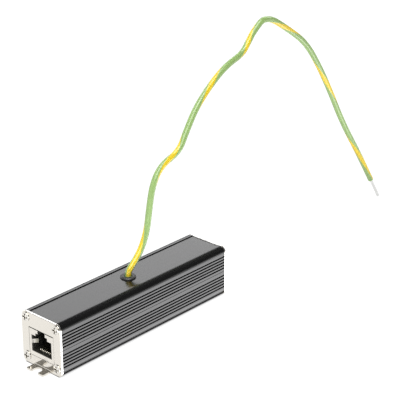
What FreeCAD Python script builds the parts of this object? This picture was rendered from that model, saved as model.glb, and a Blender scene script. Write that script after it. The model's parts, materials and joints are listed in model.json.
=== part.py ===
import FreeCAD, Part
import math
import os

V = FreeCAD.Vector

# In-line network surge protector: a ribbed square aluminium extrusion with a
# shielded jack in each end plate, a forked foot on each plate and an earth wire
# out of the top. Millimetres, +Z up. The origin is under the middle of the
# housing, on the surface that the feet stand on. X is across, Y along it.

# Housing extrusion
BODY_LENGTH = 107.0
BODY_WIDTH = 25.0
BODY_HEIGHT = 25.0
BODY_CORNER_RADIUS = 3.2
BODY_WALL = 1.4
BODY_INNER_RADIUS = 0.6
PANEL_HALF_WIDTH = 8.5  # the shallow channel along the top
PANEL_DEPTH = 0.4
FOOT_DROP = 0.7  # the extrusion hangs this far above the surface

# Side grooves: two groups, one above and one below a plain band
GROOVES_PER_GROUP = 5
GROOVE_PITCH = 1.52
GROOVE_WIDTH = 0.6
GROOVE_DEPTH = 0.6
GROOVE_FIRST = 1.975  # from the middle of the plain band to the nearest groove
GROOVES_DROP = 0.3  # the band's middle lies this far below the side's
MIDDLE_LINE_WIDTH = 0.24
MIDDLE_LINE_DEPTH = 0.15

# Screws, and the screw ports that run along the extrusion's corners
SCREW_INSET = 2.85  # from the outer faces to a screw's axis
SCREW_RADIUS = 1.4
SCREW_LENGTH = 8.0
SCREW_HEAD_RADIUS = 2.2
SCREW_HEAD_HEIGHT = 0.95
SCREW_HEAD_RIM = 0.3
RECESS_WIDTH = 0.8
RECESS_SPAN = 3.0
RECESS_DEPTH = 0.65
PORT_WALL = 0.85
PORT_CLEARANCE = 0.05
PORT_SLIT = 0.9

# End plates with their forked feet
PLATE_THICKNESS = 0.9
PLATE_BOTTOM_RADIUS = 2.5
PLATE_EDGE_CHAMFER = 0.15
PLATE_HOLE_CLEARANCE = 0.2
FORK_WIDTH = 10.6
FORK_REACH = 4.8
FORK_SLOT_WIDTH = 4.2
FORK_WEB = 0.9  # from the plate's face to the root of the slot
FORK_CORNER_RADIUS = 0.4
FORK_BEND_RADIUS = 0.4

# Jacks, which hang latch side up under the circuit board
JACK_WIDTH = 15.6
JACK_HEIGHT = 13.2
JACK_DEPTH = 20.0
JACK_TOP = 5.0  # above the middle of the extrusion
JACK_GAP = 0.15  # beside and below the jack in the plate's window
JACK_TOP_GAP = 0.45
SHIELD_SHEET = 0.25
SHIELD_GAP = 0.05
MOUTH_HALF_WIDTH = 6.4
MOUTH_HEIGHT = 8.05
MOUTH_SILL = 2.1  # from the jack's underside to the mouth
SHOULDER_HALF_WIDTH = 3.8
SHOULDER_HEIGHT = 1.4
LATCH_HALF_WIDTH = 2.4
PLUG_HALF_WIDTH = 5.95
PLUG_DEPTH = 13.5
PLUG_LIP = 0.15  # the cavity is this much inside the shield's mouth
FINGER_HEIGHT = 2.0
FINGER_LENGTH = 2.3
FINGER_DROP = 2.4  # from the top of the mouth's wide part to the finger
FINGER_LEAN = 1.5
FINGER_POCKET_CLEARANCE = 0.1
SHIELD_TAB_WIDTH = 1.6
SHIELD_TAB_SETBACK = 9.0
TAB_SLOT_CLEARANCE = 0.2

# Contact wires of a jack
CONTACTS = 8
CONTACT_PITCH = 1.02
CONTACT_RADIUS = 0.21
CONTACT_SLOT_WIDTH = 0.56
CONTACT_SLOT_DEPTH = 0.75
CONTACT_SLOT_START = 0.9
CONTACT_BEND_SETBACK = 2.9
CONTACT_BEND_RADIUS = 0.5
CONTACT_RISE_DEGREES = 23.0
CONTACT_SPRING_LENGTH = 7.4
CONTACT_PIN_NEAR = 15.0
CONTACT_PIN_FAR = 17.3
CONTACT_PIN_BEND = 0.6
CONTACT_PIN_PROUD = 0.9
CONTACT_CLEARANCE = 0.06

# Circuit board and its guide rails
BOARD_THICKNESS = 1.6
BOARD_SIDE_CLEARANCE = 0.2
BOARD_END_CLEARANCE = 0.5
RAIL_REACH = 1.2
RAIL_THICKNESS = 0.9
RAIL_CLEARANCE = 0.1
PIN_HOLE_CLEARANCE = 0.2

# Grommet and earth wire
GROMMET_X = 0.0
GROMMET_Y = 0.0
GROMMET_RADIUS = 3.7
GROMMET_TOP_RADIUS = 3.0
GROMMET_HEIGHT = 0.9
GROMMET_RIM = 0.45
GROMMET_NECK_RADIUS = 2.65
GROMMET_INNER_RADIUS = 3.4
GROMMET_INNER_HEIGHT = 1.2
GROMMET_CLEARANCE = 0.05
GROMMET_MOUTH = 0.35
WIRE_RADIUS = 1.55
WIRE_CLEARANCE = 0.05
CONDUCTOR_RADIUS = 0.85
LEAD_STRIP_ABOVE_BOARD = 1.1
LEAD_BELOW_BOARD = 0.9
SOLDER_RADIUS = 2.0
SOLDER_HEIGHT = 0.8
SOLDER_TIP_RADIUS = 1.1
END_LENGTH = 13.7  # bare tinned end

# The earth wire's route from the grommet's mouth, as it stands in the air, and
# down behind the housing. Each step is measured from the mouth.
WIRE_ROUTE = (
    (0.0, 0.0, 0.0),
    (0.0, 0.0, 1.7),
    (0.2, 1.5, 4.4),
    (0.1, 6.0, 7.6),
    (-0.1, 9.8, 11.6),
    (-0.2, 13.2, 18.8),
    (-0.3, 15.0, 28.9),
    (-0.5, 17.6, 39.7),
    (-0.8, 23.7, 47.3),
    (-1.6, 36.8, 50.2),
    (-2.1, 42.2, 58.4),
    (-3.2, 51.0, 68.8),
    (-5.1, 66.3, 78.2),
    (-6.5, 77.1, 82.2),
    (-7.8, 88.6, 84.2),
    (-8.3, 93.5, 88.6),
    (-8.7, 98.0, 93.2),
    (-9.6, 108.5, 99.0),
    (-9.8, 127.5, 87.4),
    (-9.3, 141.2, 77.4),
    (-8.5, 151.7, 62.6),
    (-7.6, 160.6, 47.3),
    (-6.4, 171.6, 26.3),
    (-5.0, 187.2, 2.9),
    (-4.3, 197.4, -13.6),
)
ARC_SHARE = 0.45

# Parts on the board's underside
GAS_TUBE_RADIUS = 2.5
GAS_TUBE_LENGTH = 7.6
GAS_TUBE_BAND = 1.3
GAS_TUBE_WAIST = 0.25
GAS_TUBE_X = 5.2
GAS_TUBE_Y = (-28.0, -20.5)
GAS_TUBE_LIFT = 0.3
LEG_RADIUS = 0.4
LEG_PROUD = 0.8
RESISTOR_LENGTH = 3.2
RESISTOR_WIDTH = 1.6
RESISTOR_HEIGHT = 0.6
RESISTOR_PITCH = 4.6
RESISTOR_Y = (-12.6, -7.4)
DIODE_LENGTH = 5.0
DIODE_WIDTH = 4.0
DIODE_HEIGHT = 1.5
DIODE_LIFT = 0.1
DIODE_LEGS = 4
DIODE_LEG_PITCH = 1.27
DIODE_LEG_WIDTH = 0.42
DIODE_LEG_SHEET = 0.2
DIODE_FOOT = 1.0
DIODE_X = 5.2
DIODE_Y = (9.0, 17.5)
CAPACITOR_RADIUS = 3.6
CAPACITOR_THICKNESS = 3.0
CAPACITOR_LIFT = 0.8
CAPACITOR_LEG_SPACING = 5.0
CAPACITOR_X = 0.0
CAPACITOR_Y = 27.0

# Worked out from the sizes above
MID_Z = FOOT_DROP + BODY_HEIGHT / 2
TOP_Z = FOOT_DROP + BODY_HEIGHT
FRONT_Y = -BODY_LENGTH / 2
FACE_Y = FRONT_Y - PLATE_THICKNESS
INNER_HALF_WIDTH = BODY_WIDTH / 2 - BODY_WALL
INNER_HALF_HEIGHT = BODY_HEIGHT / 2 - BODY_WALL
PORT_RADIUS = SCREW_RADIUS + PORT_CLEARANCE
PORT_OUTER_RADIUS = PORT_RADIUS + PORT_WALL
SCREW_X = BODY_WIDTH / 2 - SCREW_INSET
SCREW_Z = BODY_HEIGHT / 2 - SCREW_INSET
JACK_FRONT_Y = FACE_Y
JACK_TOP_Z = MID_Z + JACK_TOP
JACK_BOTTOM_Z = JACK_TOP_Z - JACK_HEIGHT
MOUTH_BOTTOM_Z = JACK_BOTTOM_Z + MOUTH_SILL
MOUTH_TOP_Z = MOUTH_BOTTOM_Z + MOUTH_HEIGHT
SHOULDER_TOP_Z = MOUTH_TOP_Z + SHOULDER_HEIGHT
PLUG_FLOOR_Z = MOUTH_BOTTOM_Z + PLUG_LIP
INSULATOR_FRONT_Y = JACK_FRONT_Y + SHIELD_SHEET + SHIELD_GAP
INSULATOR_BACK_Y = JACK_FRONT_Y + JACK_DEPTH - SHIELD_SHEET - SHIELD_GAP
BOARD_BOTTOM_Z = JACK_TOP_Z
BOARD_TOP_Z = BOARD_BOTTOM_Z + BOARD_THICKNESS
BOARD_LENGTH = BODY_LENGTH - 2 * BOARD_END_CLEARANCE
BOARD_HALF_WIDTH = INNER_HALF_WIDTH - BOARD_SIDE_CLEARANCE
PANEL_Z = TOP_Z - PANEL_DEPTH
GROMMET_TOP_Z = PANEL_Z + GROMMET_HEIGHT
WIRE_BORE_RADIUS = WIRE_RADIUS + WIRE_CLEARANCE
CONTACT_RUN_Z = PLUG_FLOOR_Z - CONTACT_SLOT_DEPTH + CONTACT_RADIUS + 2 * CONTACT_CLEARANCE


def block(x0, x1, y0, y1, z0, z1):
    return Part.makeBox(x1 - x0, y1 - y0, z1 - z0, V(x0, y0, z0))


def rod(radius, length, start, along):
    return Part.makeCylinder(radius, length, V(*start), V(*along))


def at_rear(shape):
    """The copy at the rear end, turned half round about the upright axis."""
    turned = shape.copy()
    turned.rotate(V(0, 0, 0), V(0, 0, 1), 180)
    return turned


def fused(shapes):
    whole = shapes[0]
    for shape in shapes[1:]:
        whole = whole.fuse(shape)
    return whole.removeSplitter()


def rounded_face(half_width, z0, z1, low_radius, high_radius, y):
    """A face across the housing, with its corners rounded."""
    corners = (
        (half_width, z1, high_radius, 0),
        (-half_width, z1, high_radius, 90),
        (-half_width, z0, low_radius, 180),
        (half_width, z0, low_radius, 270),
    )
    edges = []
    points = []
    for x, z, radius, start in corners:
        centre_x = x - math.copysign(radius, x)
        centre_z = z - radius if z == z1 else z + radius
        arc = []
        for angle in (start, start + 45, start + 90):
            turn = math.radians(angle)
            arc.append(V(centre_x + radius * math.cos(turn), y, centre_z + radius * math.sin(turn)))
        points.append(arc)
    for number, arc in enumerate(points):
        edges.append(Part.Arc(*arc).toShape())
        following = points[(number + 1) % len(points)]
        edges.append(Part.LineSegment(arc[2], following[0]).toShape())
    return Part.Face(Part.Wire(edges))


def pipe(points, radius):
    """A round bar along straight runs that tangent arcs join."""
    places = [V(*point) for point in points]
    edges = []
    start = places[0]
    found = []
    for number in range(1, len(places) - 1):
        here = places[number]
        back = here - places[number - 1]
        ahead = places[number + 1] - here
        turn = back.getAngle(ahead)
        arc_radius = ARC_SHARE * min(back.Length, ahead.Length) / math.tan(turn / 2)
        found.append((round(arc_radius, 2), round(math.degrees(turn), 1)))
        trim = arc_radius * math.tan(turn / 2)
        back.normalize()
        ahead.normalize()
        enter = here - back * trim
        leave = here + ahead * trim
        inward = ahead - back
        inward.normalize()
        centre = here + inward * (arc_radius / math.cos(turn / 2))
        middle = centre - inward * arc_radius
        edges.append(Part.LineSegment(start, enter).toShape())
        edges.append(Part.Arc(enter, middle, leave).toShape())
        start = leave
    edges.append(Part.LineSegment(start, places[-1]).toShape())
    path = Part.Wire(edges)
    along = places[1] - places[0]
    ring = Part.Wire([Part.makeCircle(radius, places[0], along)])
    return path.makePipeShell([ring], True, False), path.Length, found


def screw_places():
    return [(x, MID_Z + z) for x in (-SCREW_X, SCREW_X) for z in (-SCREW_Z, SCREW_Z)]


def groove_heights():
    offsets = [GROOVE_FIRST + GROOVE_PITCH * number for number in range(GROOVES_PER_GROUP)]
    return [MID_Z - GROOVES_DROP + side * offset for side in (-1, 1) for offset in offsets]


def side_grooves():
    """What is cut from both ribbed sides, the fine middle line included."""
    cuts = []
    lines = [(height, GROOVE_WIDTH, GROOVE_DEPTH) for height in groove_heights()]
    lines.append((MID_Z, MIDDLE_LINE_WIDTH, MIDDLE_LINE_DEPTH))
    for height, width, depth in lines:
        for side in (-1, 1):
            floor = side * (BODY_WIDTH / 2 - depth)
            cuts.append(along_housing(side * BODY_WIDTH, floor, height - width / 2, height + width / 2, 1))
    return cuts


def along_housing(x0, x1, z0, z1, past=0.0):
    """A bar with that section, as long as the housing and a little past each end."""
    return block(*sorted((x0, x1)), FRONT_Y - past, -FRONT_Y + past, *sorted((z0, z1)))


def top_channel():
    """The shallow channel along the top, between two raised shoulders."""
    return along_housing(-PANEL_HALF_WIDTH, PANEL_HALF_WIDTH, PANEL_Z, TOP_Z + 1, 1)


def port_relief():
    """The room that the ports leave to the jacks and the board's edges."""
    side = JACK_WIDTH / 2 + JACK_GAP
    jack = along_housing(-side, side, JACK_BOTTOM_Z - JACK_GAP, JACK_TOP_Z, 1)
    low = BOARD_BOTTOM_Z - RAIL_CLEARANCE
    high = BOARD_TOP_Z + RAIL_CLEARANCE
    return jack.fuse(along_housing(-INNER_HALF_WIDTH, INNER_HALF_WIDTH, low, high, 1))


def screw_port(x, z):
    """A round port on a foot in a corner of the cavity, its slit towards the middle."""
    tube = rod(PORT_OUTER_RADIUS, BODY_LENGTH, (x, FRONT_Y, z), (0, 1, 0))
    wall = math.copysign(INNER_HALF_WIDTH + BODY_WALL / 4, x)
    inner_edge = z - math.copysign(PORT_OUTER_RADIUS, z - MID_Z)
    tube = tube.fuse(along_housing(x, wall, z, inner_edge)).cut(port_relief())
    slit = along_housing(0, PORT_OUTER_RADIUS + 1, -PORT_SLIT / 2, PORT_SLIT / 2, 1)
    inward = math.degrees(math.atan2(MID_Z - z, -x))
    slit.rotate(V(0, 0, 0), V(0, -1, 0), inward)
    slit.translate(V(x, 0, z))
    bore = rod(PORT_RADIUS, BODY_LENGTH + 2, (x, FRONT_Y - 1, z), (0, 1, 0))
    return tube, slit.fuse(bore)


def guide_rails():
    """Two rails on each side wall that hold the board's edges."""
    rails = []
    upper = BOARD_TOP_Z + RAIL_CLEARANCE
    lower = BOARD_BOTTOM_Z - RAIL_CLEARANCE - RAIL_THICKNESS
    for z0 in (upper, lower):
        for side in (-1, 1):
            inner = side * (INNER_HALF_WIDTH - RAIL_REACH)
            outer = side * (INNER_HALF_WIDTH + BODY_WALL / 4)
            rails.append(along_housing(inner, outer, z0, z0 + RAIL_THICKNESS))
    return rails


def housing_extrusion():
    along = V(0, BODY_LENGTH, 0)
    radius = BODY_CORNER_RADIUS
    outer = rounded_face(BODY_WIDTH / 2, FOOT_DROP, TOP_Z, radius, radius, FRONT_Y).extrude(along)
    low = MID_Z - INNER_HALF_HEIGHT
    high = MID_Z + INNER_HALF_HEIGHT
    inner = BODY_INNER_RADIUS
    cavity = rounded_face(INNER_HALF_WIDTH, low, high, inner, inner, FRONT_Y).extrude(along)
    shell = outer.cut(cavity)
    ports = [screw_port(x, z) for x, z in screw_places()]
    shell = shell.fuse([tube.common(outer) for tube, _ in ports] + guide_rails())
    shell = shell.cut([bore for _, bore in ports] + side_grooves() + [top_channel()])
    hole_radius = GROMMET_NECK_RADIUS + GROMMET_CLEARANCE
    hole = rod(hole_radius, BODY_WALL + 2, (GROMMET_X, GROMMET_Y, TOP_Z - BODY_WALL - 1), (0, 0, 1))
    return shell.cut(hole).removeSplitter()


def fork_foot():
    """The tab at the plate's foot, bent outwards and slotted for a screw."""
    half = FORK_WIDTH / 2
    tip = FACE_Y - FORK_REACH
    tab = block(-half, half, tip, FRONT_Y, 0, PLATE_THICKNESS)
    upright = [edge for edge in tab.Edges if is_upright(edge) and edge.BoundBox.YMax < tip + 0.01]
    tab = tab.makeFillet(FORK_CORNER_RADIUS, upright)
    bend_top = PLATE_THICKNESS + FORK_BEND_RADIUS
    bend = block(-half, half, FACE_Y - FORK_BEND_RADIUS, FACE_Y, PLATE_THICKNESS, bend_top)
    hollow_at = (-half - 1, FACE_Y - FORK_BEND_RADIUS, bend_top)
    bend = bend.cut(rod(FORK_BEND_RADIUS, FORK_WIDTH + 2, hollow_at, (1, 0, 0)))
    root = FACE_Y - FORK_WEB - FORK_SLOT_WIDTH / 2
    slot = rod(FORK_SLOT_WIDTH / 2, PLATE_THICKNESS + 2, (0, root, -1), (0, 0, 1))
    mouth = block(-FORK_SLOT_WIDTH / 2, FORK_SLOT_WIDTH / 2, tip - 1, root, -1, PLATE_THICKNESS + 1)
    return tab, bend, slot.fuse(mouth)


def is_upright(edge):
    box = edge.BoundBox
    return box.ZLength > 0.5 * PLATE_THICKNESS and box.XLength < 1e-6 and box.YLength < 1e-6


def fork_outer_bend():
    """What the outside of the fork's bend leaves away at the plate's back."""
    half = FORK_WIDTH / 2
    radius = FORK_BEND_RADIUS + PLATE_THICKNESS
    corner = block(-half, half, FRONT_Y - radius, FRONT_Y + 1, -1, radius)
    return corner.cut(rod(radius, FORK_WIDTH + 2, (-half - 1, FRONT_Y - radius, radius), (1, 0, 0)))


def end_plate():
    """Front plate: a rounded sheet with the jack's window and four holes."""
    face = rounded_face(BODY_WIDTH / 2, 0, TOP_Z, PLATE_BOTTOM_RADIUS, BODY_CORNER_RADIUS, FACE_Y)
    plate = face.extrude(V(0, PLATE_THICKNESS, 0))
    rim = [edge for edge in plate.Edges if edge.BoundBox.YMax < FACE_Y + 0.01]
    plate = plate.makeChamfer(PLATE_EDGE_CHAMFER, rim)
    side = JACK_WIDTH / 2 + JACK_GAP
    window_low = JACK_BOTTOM_Z - JACK_GAP
    window = block(-side, side, FACE_Y - 1, FRONT_Y + 1, window_low, JACK_TOP_Z + JACK_TOP_GAP)
    hole_radius = SCREW_RADIUS + PLATE_HOLE_CLEARANCE
    cuts = [window, fork_outer_bend()]
    for x, z in screw_places():
        cuts.append(rod(hole_radius, PLATE_THICKNESS + 2, (x, FACE_Y - 1, z), (0, 1, 0)))
    tab, bend, slot = fork_foot()
    body = plate.fuse([tab, bend]).cut(cuts + [slot])
    return body.removeSplitter()


def cross_recess():
    """The tool recess of one head, sunk along +Y from the top of the dome."""
    half = RECESS_WIDTH / 2
    reach = RECESS_SPAN / 2
    bar = block(-reach, reach, -1, RECESS_DEPTH, -half, half)
    other = block(-half, half, -1, RECESS_DEPTH, -reach, reach)
    point = Part.makeCone(RECESS_WIDTH, RECESS_WIDTH / 3, RECESS_DEPTH, V(0, 0, 0), V(0, 1, 0))
    return bar.fuse([other, point])


def plate_screw(x, z):
    """A pan-head screw whose head sits on the front plate."""
    dome = SCREW_HEAD_HEIGHT - SCREW_HEAD_RIM
    ball = (SCREW_HEAD_RADIUS ** 2 + dome ** 2) / (2 * dome)
    top = FACE_Y - SCREW_HEAD_HEIGHT
    head = rod(SCREW_HEAD_RADIUS, SCREW_HEAD_HEIGHT, (x, top, z), (0, 1, 0))
    head = head.common(Part.makeSphere(ball, V(x, top + ball, z)))
    recess = cross_recess()
    recess.translate(V(x, top, z))
    shank_length = SCREW_LENGTH + PLATE_THICKNESS
    shank = rod(SCREW_RADIUS, shank_length, (x, FACE_Y, z), (0, 1, 0))
    return head.cut(recess).fuse(shank).removeSplitter()


def plate_screws():
    return Part.makeCompound([plate_screw(x, z) for x, z in screw_places()])


def mouth_cut(half_width, shoulder, latch, low, y0, y1, lip):
    """The stepped opening: plug, shoulder and latch way, open to the board."""
    plug = block(-half_width, half_width, y0, y1, low, MOUTH_TOP_Z - lip)
    step = block(-shoulder, shoulder, y0, y1, low, SHOULDER_TOP_Z - lip)
    way = block(-latch, latch, y0, y1, low, JACK_TOP_Z + 1)
    return plug.fuse([step, way])


def finger(side, extra=0.0):
    """A spring finger of the shield, bent in from the side of the mouth."""
    z1 = MOUTH_TOP_Z - FINGER_DROP + extra
    z0 = MOUTH_TOP_Z - FINGER_DROP - FINGER_HEIGHT - extra
    outer = MOUTH_HALF_WIDTH + SHIELD_SHEET + extra
    inner = PLUG_HALF_WIDTH - FINGER_LEAN - extra
    y0 = JACK_FRONT_Y + SHIELD_SHEET / 2
    y1 = JACK_FRONT_Y + FINGER_LENGTH + extra
    thick = SHIELD_SHEET + 2 * extra
    points = [
        V(side * outer, y0, z0),
        V(side * (outer - thick), y0, z0),
        V(side * inner, y1, z0),
        V(side * (inner + thick), y1, z0),
    ]
    return Part.Face(Part.makePolygon(points + points[:1])).extrude(V(0, 0, z1 - z0))


def jack_shield():
    """Folded sheet round the jack, open towards the board."""
    half = JACK_WIDTH / 2
    back = JACK_FRONT_Y + JACK_DEPTH
    can = block(-half, half, JACK_FRONT_Y, back, JACK_BOTTOM_Z, JACK_TOP_Z)
    inside = half - SHIELD_SHEET
    floor = JACK_BOTTOM_Z + SHIELD_SHEET
    room = block(-inside, inside, JACK_FRONT_Y + SHIELD_SHEET, back - SHIELD_SHEET, floor, JACK_TOP_Z + 1)
    y1 = JACK_FRONT_Y + SHIELD_SHEET + 0.01
    widths = (MOUTH_HALF_WIDTH, SHOULDER_HALF_WIDTH, LATCH_HALF_WIDTH)
    mouth = mouth_cut(*widths, MOUTH_BOTTOM_Z, JACK_FRONT_Y - 1, y1, 0)
    tabs = []
    for side in (-1, 1):
        x0, x1 = sorted((side * half, side * inside))
        y0 = JACK_FRONT_Y + SHIELD_TAB_SETBACK
        high = BOARD_TOP_Z + CONTACT_PIN_PROUD
        tabs.append(block(x0, x1, y0, y0 + SHIELD_TAB_WIDTH, JACK_TOP_Z - 1, high))
    return can.cut([room, mouth]).fuse(tabs + [finger(-1), finger(1)]).removeSplitter()


def contact_x(number):
    return (number - (CONTACTS - 1) / 2) * CONTACT_PITCH


def contact_pin_y(number):
    setback = CONTACT_PIN_NEAR if number % 2 == 0 else CONTACT_PIN_FAR
    return JACK_FRONT_Y + setback


def contact_wire(number):
    """A wire from its board pin, forward under the plug and back up as a spring."""
    x = contact_x(number)
    rise = math.radians(CONTACT_RISE_DEGREES)
    bend_y = JACK_FRONT_Y + CONTACT_BEND_SETBACK
    pin_y = contact_pin_y(number)
    run_z = CONTACT_RUN_Z
    pin_top = BOARD_TOP_Z + CONTACT_PIN_PROUD
    centre_z = run_z + CONTACT_BEND_RADIUS
    corner = CONTACT_PIN_BEND
    nose = V(x, bend_y - CONTACT_BEND_RADIUS, centre_z)
    lift = V(0, -math.sin(rise), math.cos(rise)) * CONTACT_BEND_RADIUS
    top = V(x, bend_y, centre_z) + lift
    free = top + V(0, math.cos(rise), math.sin(rise)) * CONTACT_SPRING_LENGTH
    low_mid = math.radians(45)
    knee = V(x, pin_y - corner + corner * math.sin(low_mid), run_z + corner - corner * math.cos(low_mid))
    edges = [
        Part.LineSegment(V(x, pin_y, pin_top), V(x, pin_y, run_z + corner)).toShape(),
        Part.Arc(V(x, pin_y, run_z + corner), knee, V(x, pin_y - corner, run_z)).toShape(),
        Part.LineSegment(V(x, pin_y - corner, run_z), V(x, bend_y, run_z)).toShape(),
        Part.Arc(V(x, bend_y, run_z), nose, top).toShape(),
        Part.LineSegment(top, free).toShape(),
    ]
    ring = Part.Wire([Part.makeCircle(CONTACT_RADIUS, V(x, pin_y, pin_top), V(0, 0, 1))])
    return Part.Wire(edges).makePipeShell([ring], True, False)


def contact_ways(number):
    """What one contact needs cut from the insulator: its slot and its pin's way."""
    x = contact_x(number)
    pin_y = contact_pin_y(number)
    half = CONTACT_SLOT_WIDTH / 2
    start = JACK_FRONT_Y + CONTACT_SLOT_START
    bottom = PLUG_FLOOR_Z - CONTACT_SLOT_DEPTH
    end = pin_y + CONTACT_RADIUS + CONTACT_CLEARANCE
    slot = block(x - half, x + half, start, end, bottom, PLUG_FLOOR_Z + 0.01)
    way_half = CONTACT_RADIUS + CONTACT_CLEARANCE
    way_start = pin_y - way_half - CONTACT_PIN_BEND
    way = block(x - way_half, x + way_half, way_start, end, bottom, JACK_TOP_Z + 1)
    return slot.fuse(way)


def jack_insulator():
    """The moulded block inside the shield, with the plug's cavity."""
    half = JACK_WIDTH / 2 - SHIELD_SHEET - SHIELD_GAP
    low = JACK_BOTTOM_Z + SHIELD_SHEET + SHIELD_GAP
    solid = block(-half, half, INSULATOR_FRONT_Y, INSULATOR_BACK_Y, low, JACK_TOP_Z)
    back = JACK_FRONT_Y + PLUG_DEPTH
    widths = (PLUG_HALF_WIDTH, SHOULDER_HALF_WIDTH - PLUG_LIP, LATCH_HALF_WIDTH - PLUG_LIP)
    cavity = mouth_cut(*widths, PLUG_FLOOR_Z, JACK_FRONT_Y - 1, back, PLUG_LIP)
    pockets = [finger(side, FINGER_POCKET_CLEARANCE) for side in (-1, 1)]
    ways = [contact_ways(number) for number in range(CONTACTS)]
    return solid.cut([cavity] + pockets + ways).removeSplitter()


def board_holes():
    """Holes and slots at the front jack, for its pins and shield tabs."""
    cuts = []
    radius = CONTACT_RADIUS + PIN_HOLE_CLEARANCE
    for number in range(CONTACTS):
        place = (contact_x(number), contact_pin_y(number), BOARD_BOTTOM_Z - 1)
        cuts.append(rod(radius, BOARD_THICKNESS + 2, place, (0, 0, 1)))
    clear = TAB_SLOT_CLEARANCE
    y0 = JACK_FRONT_Y + SHIELD_TAB_SETBACK - clear
    y1 = y0 + SHIELD_TAB_WIDTH + 2 * clear
    for side in (-1, 1):
        inner = side * (JACK_WIDTH / 2 - SHIELD_SHEET - clear)
        outer = side * (JACK_WIDTH / 2 + clear)
        x0, x1 = sorted((inner, outer))
        cuts.append(block(x0, x1, y0, y1, BOARD_BOTTOM_Z - 1, BOARD_TOP_Z + 1))
    return cuts


def circuit_board():
    half = BOARD_LENGTH / 2
    board = block(-BOARD_HALF_WIDTH, BOARD_HALF_WIDTH, -half, half, BOARD_BOTTOM_Z, BOARD_TOP_Z)
    cuts = board_holes()
    cuts += [at_rear(cut) for cut in board_holes()]
    places = [(x, y, LEG_RADIUS) for x, y in gas_tube_legs() + capacitor_legs()]
    places.append((GROMMET_X, GROMMET_Y, CONDUCTOR_RADIUS))
    for x, y, radius in places:
        hole = rod(radius + PIN_HOLE_CLEARANCE, BOARD_THICKNESS + 2, (x, y, BOARD_BOTTOM_Z - 1), (0, 0, 1))
        cuts.append(hole)
    return board.cut(cuts)


def gas_tube_places():
    return [(side * GAS_TUBE_X, y) for y in GAS_TUBE_Y for side in (-1, 1)]


def tube_leg_offsets():
    end = GAS_TUBE_LENGTH / 2 - GAS_TUBE_BAND / 2
    return (-end, 0.0, end)


def gas_tube_legs():
    return [(x + offset, y) for x, y in gas_tube_places() for offset in tube_leg_offsets()]


def gas_tube(x, y):
    """A three-electrode tube: metal bands with ceramic waists between them."""
    half = GAS_TUBE_LENGTH / 2
    z = BOARD_BOTTOM_Z - GAS_TUBE_LIFT - GAS_TUBE_RADIUS
    pieces = [rod(GAS_TUBE_RADIUS - GAS_TUBE_WAIST, GAS_TUBE_LENGTH, (x - half, y, z), (1, 0, 0))]
    for offset in tube_leg_offsets():
        start = x + offset - GAS_TUBE_BAND / 2
        pieces.append(rod(GAS_TUBE_RADIUS, GAS_TUBE_BAND, (start, y, z), (1, 0, 0)))
        pieces.append(rod(LEG_RADIUS, BOARD_TOP_Z + LEG_PROUD - z, (x + offset, y, z), (0, 0, 1)))
    return fused(pieces)


def resistor_places():
    row = [(number - 1.5) * RESISTOR_PITCH for number in range(4)]
    return [(x, y) for y in RESISTOR_Y for x in row]


def series_resistor(x, y):
    """A chip resistor under the board, lengthwise along the housing."""
    z0 = BOARD_BOTTOM_Z - RESISTOR_HEIGHT
    half_width = RESISTOR_WIDTH / 2
    half_length = RESISTOR_LENGTH / 2
    return block(x - half_width, x + half_width, y - half_length, y + half_length, z0, BOARD_BOTTOM_Z)


def diode_array(x, y):
    """An eight-legged surge diode package under the board."""
    z1 = BOARD_BOTTOM_Z - DIODE_LIFT
    half_width = DIODE_WIDTH / 2
    half_length = DIODE_LENGTH / 2
    middle = z1 - DIODE_HEIGHT / 2
    z0 = z1 - DIODE_HEIGHT
    pieces = [block(x - half_width, x + half_width, y - half_length, y + half_length, z0, z1)]
    for number in range(DIODE_LEGS):
        leg_y = y + (number - (DIODE_LEGS - 1) / 2) * DIODE_LEG_PITCH
        y0 = leg_y - DIODE_LEG_WIDTH / 2
        y1 = leg_y + DIODE_LEG_WIDTH / 2
        for side in (-1, 1):
            root = x + side * (half_width - DIODE_LEG_SHEET)
            knee = x + side * (half_width + DIODE_FOOT / 2)
            toe = x + side * (half_width + DIODE_FOOT)
            sheet = DIODE_LEG_SHEET
            inner = knee - side * sheet
            pieces.append(block(*sorted((root, knee)), y0, y1, middle - sheet / 2, middle + sheet / 2))
            pieces.append(block(*sorted((inner, knee)), y0, y1, middle - sheet / 2, BOARD_BOTTOM_Z))
            pieces.append(block(*sorted((inner, toe)), y0, y1, BOARD_BOTTOM_Z - sheet, BOARD_BOTTOM_Z))
    return fused(pieces)


def capacitor_legs():
    half = CAPACITOR_LEG_SPACING / 2
    return [(CAPACITOR_X - half, CAPACITOR_Y), (CAPACITOR_X + half, CAPACITOR_Y)]


def shield_capacitor():
    """A disc capacitor that stands under the board on two legs."""
    z = BOARD_BOTTOM_Z - CAPACITOR_LIFT - CAPACITOR_RADIUS
    start = (CAPACITOR_X, CAPACITOR_Y - CAPACITOR_THICKNESS / 2, z)
    disc = rod(CAPACITOR_RADIUS, CAPACITOR_THICKNESS, start, (0, 1, 0))
    rims = [edge for edge in disc.Edges if edge.Curve.TypeId == "Part::GeomCircle"]
    disc = disc.makeFillet(CAPACITOR_THICKNESS * 0.4, rims)
    legs = []
    for x, y in capacitor_legs():
        legs.append(rod(LEG_RADIUS, BOARD_TOP_Z + LEG_PROUD - z, (x, y, z), (0, 0, 1)))
    return fused([disc] + legs)


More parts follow.
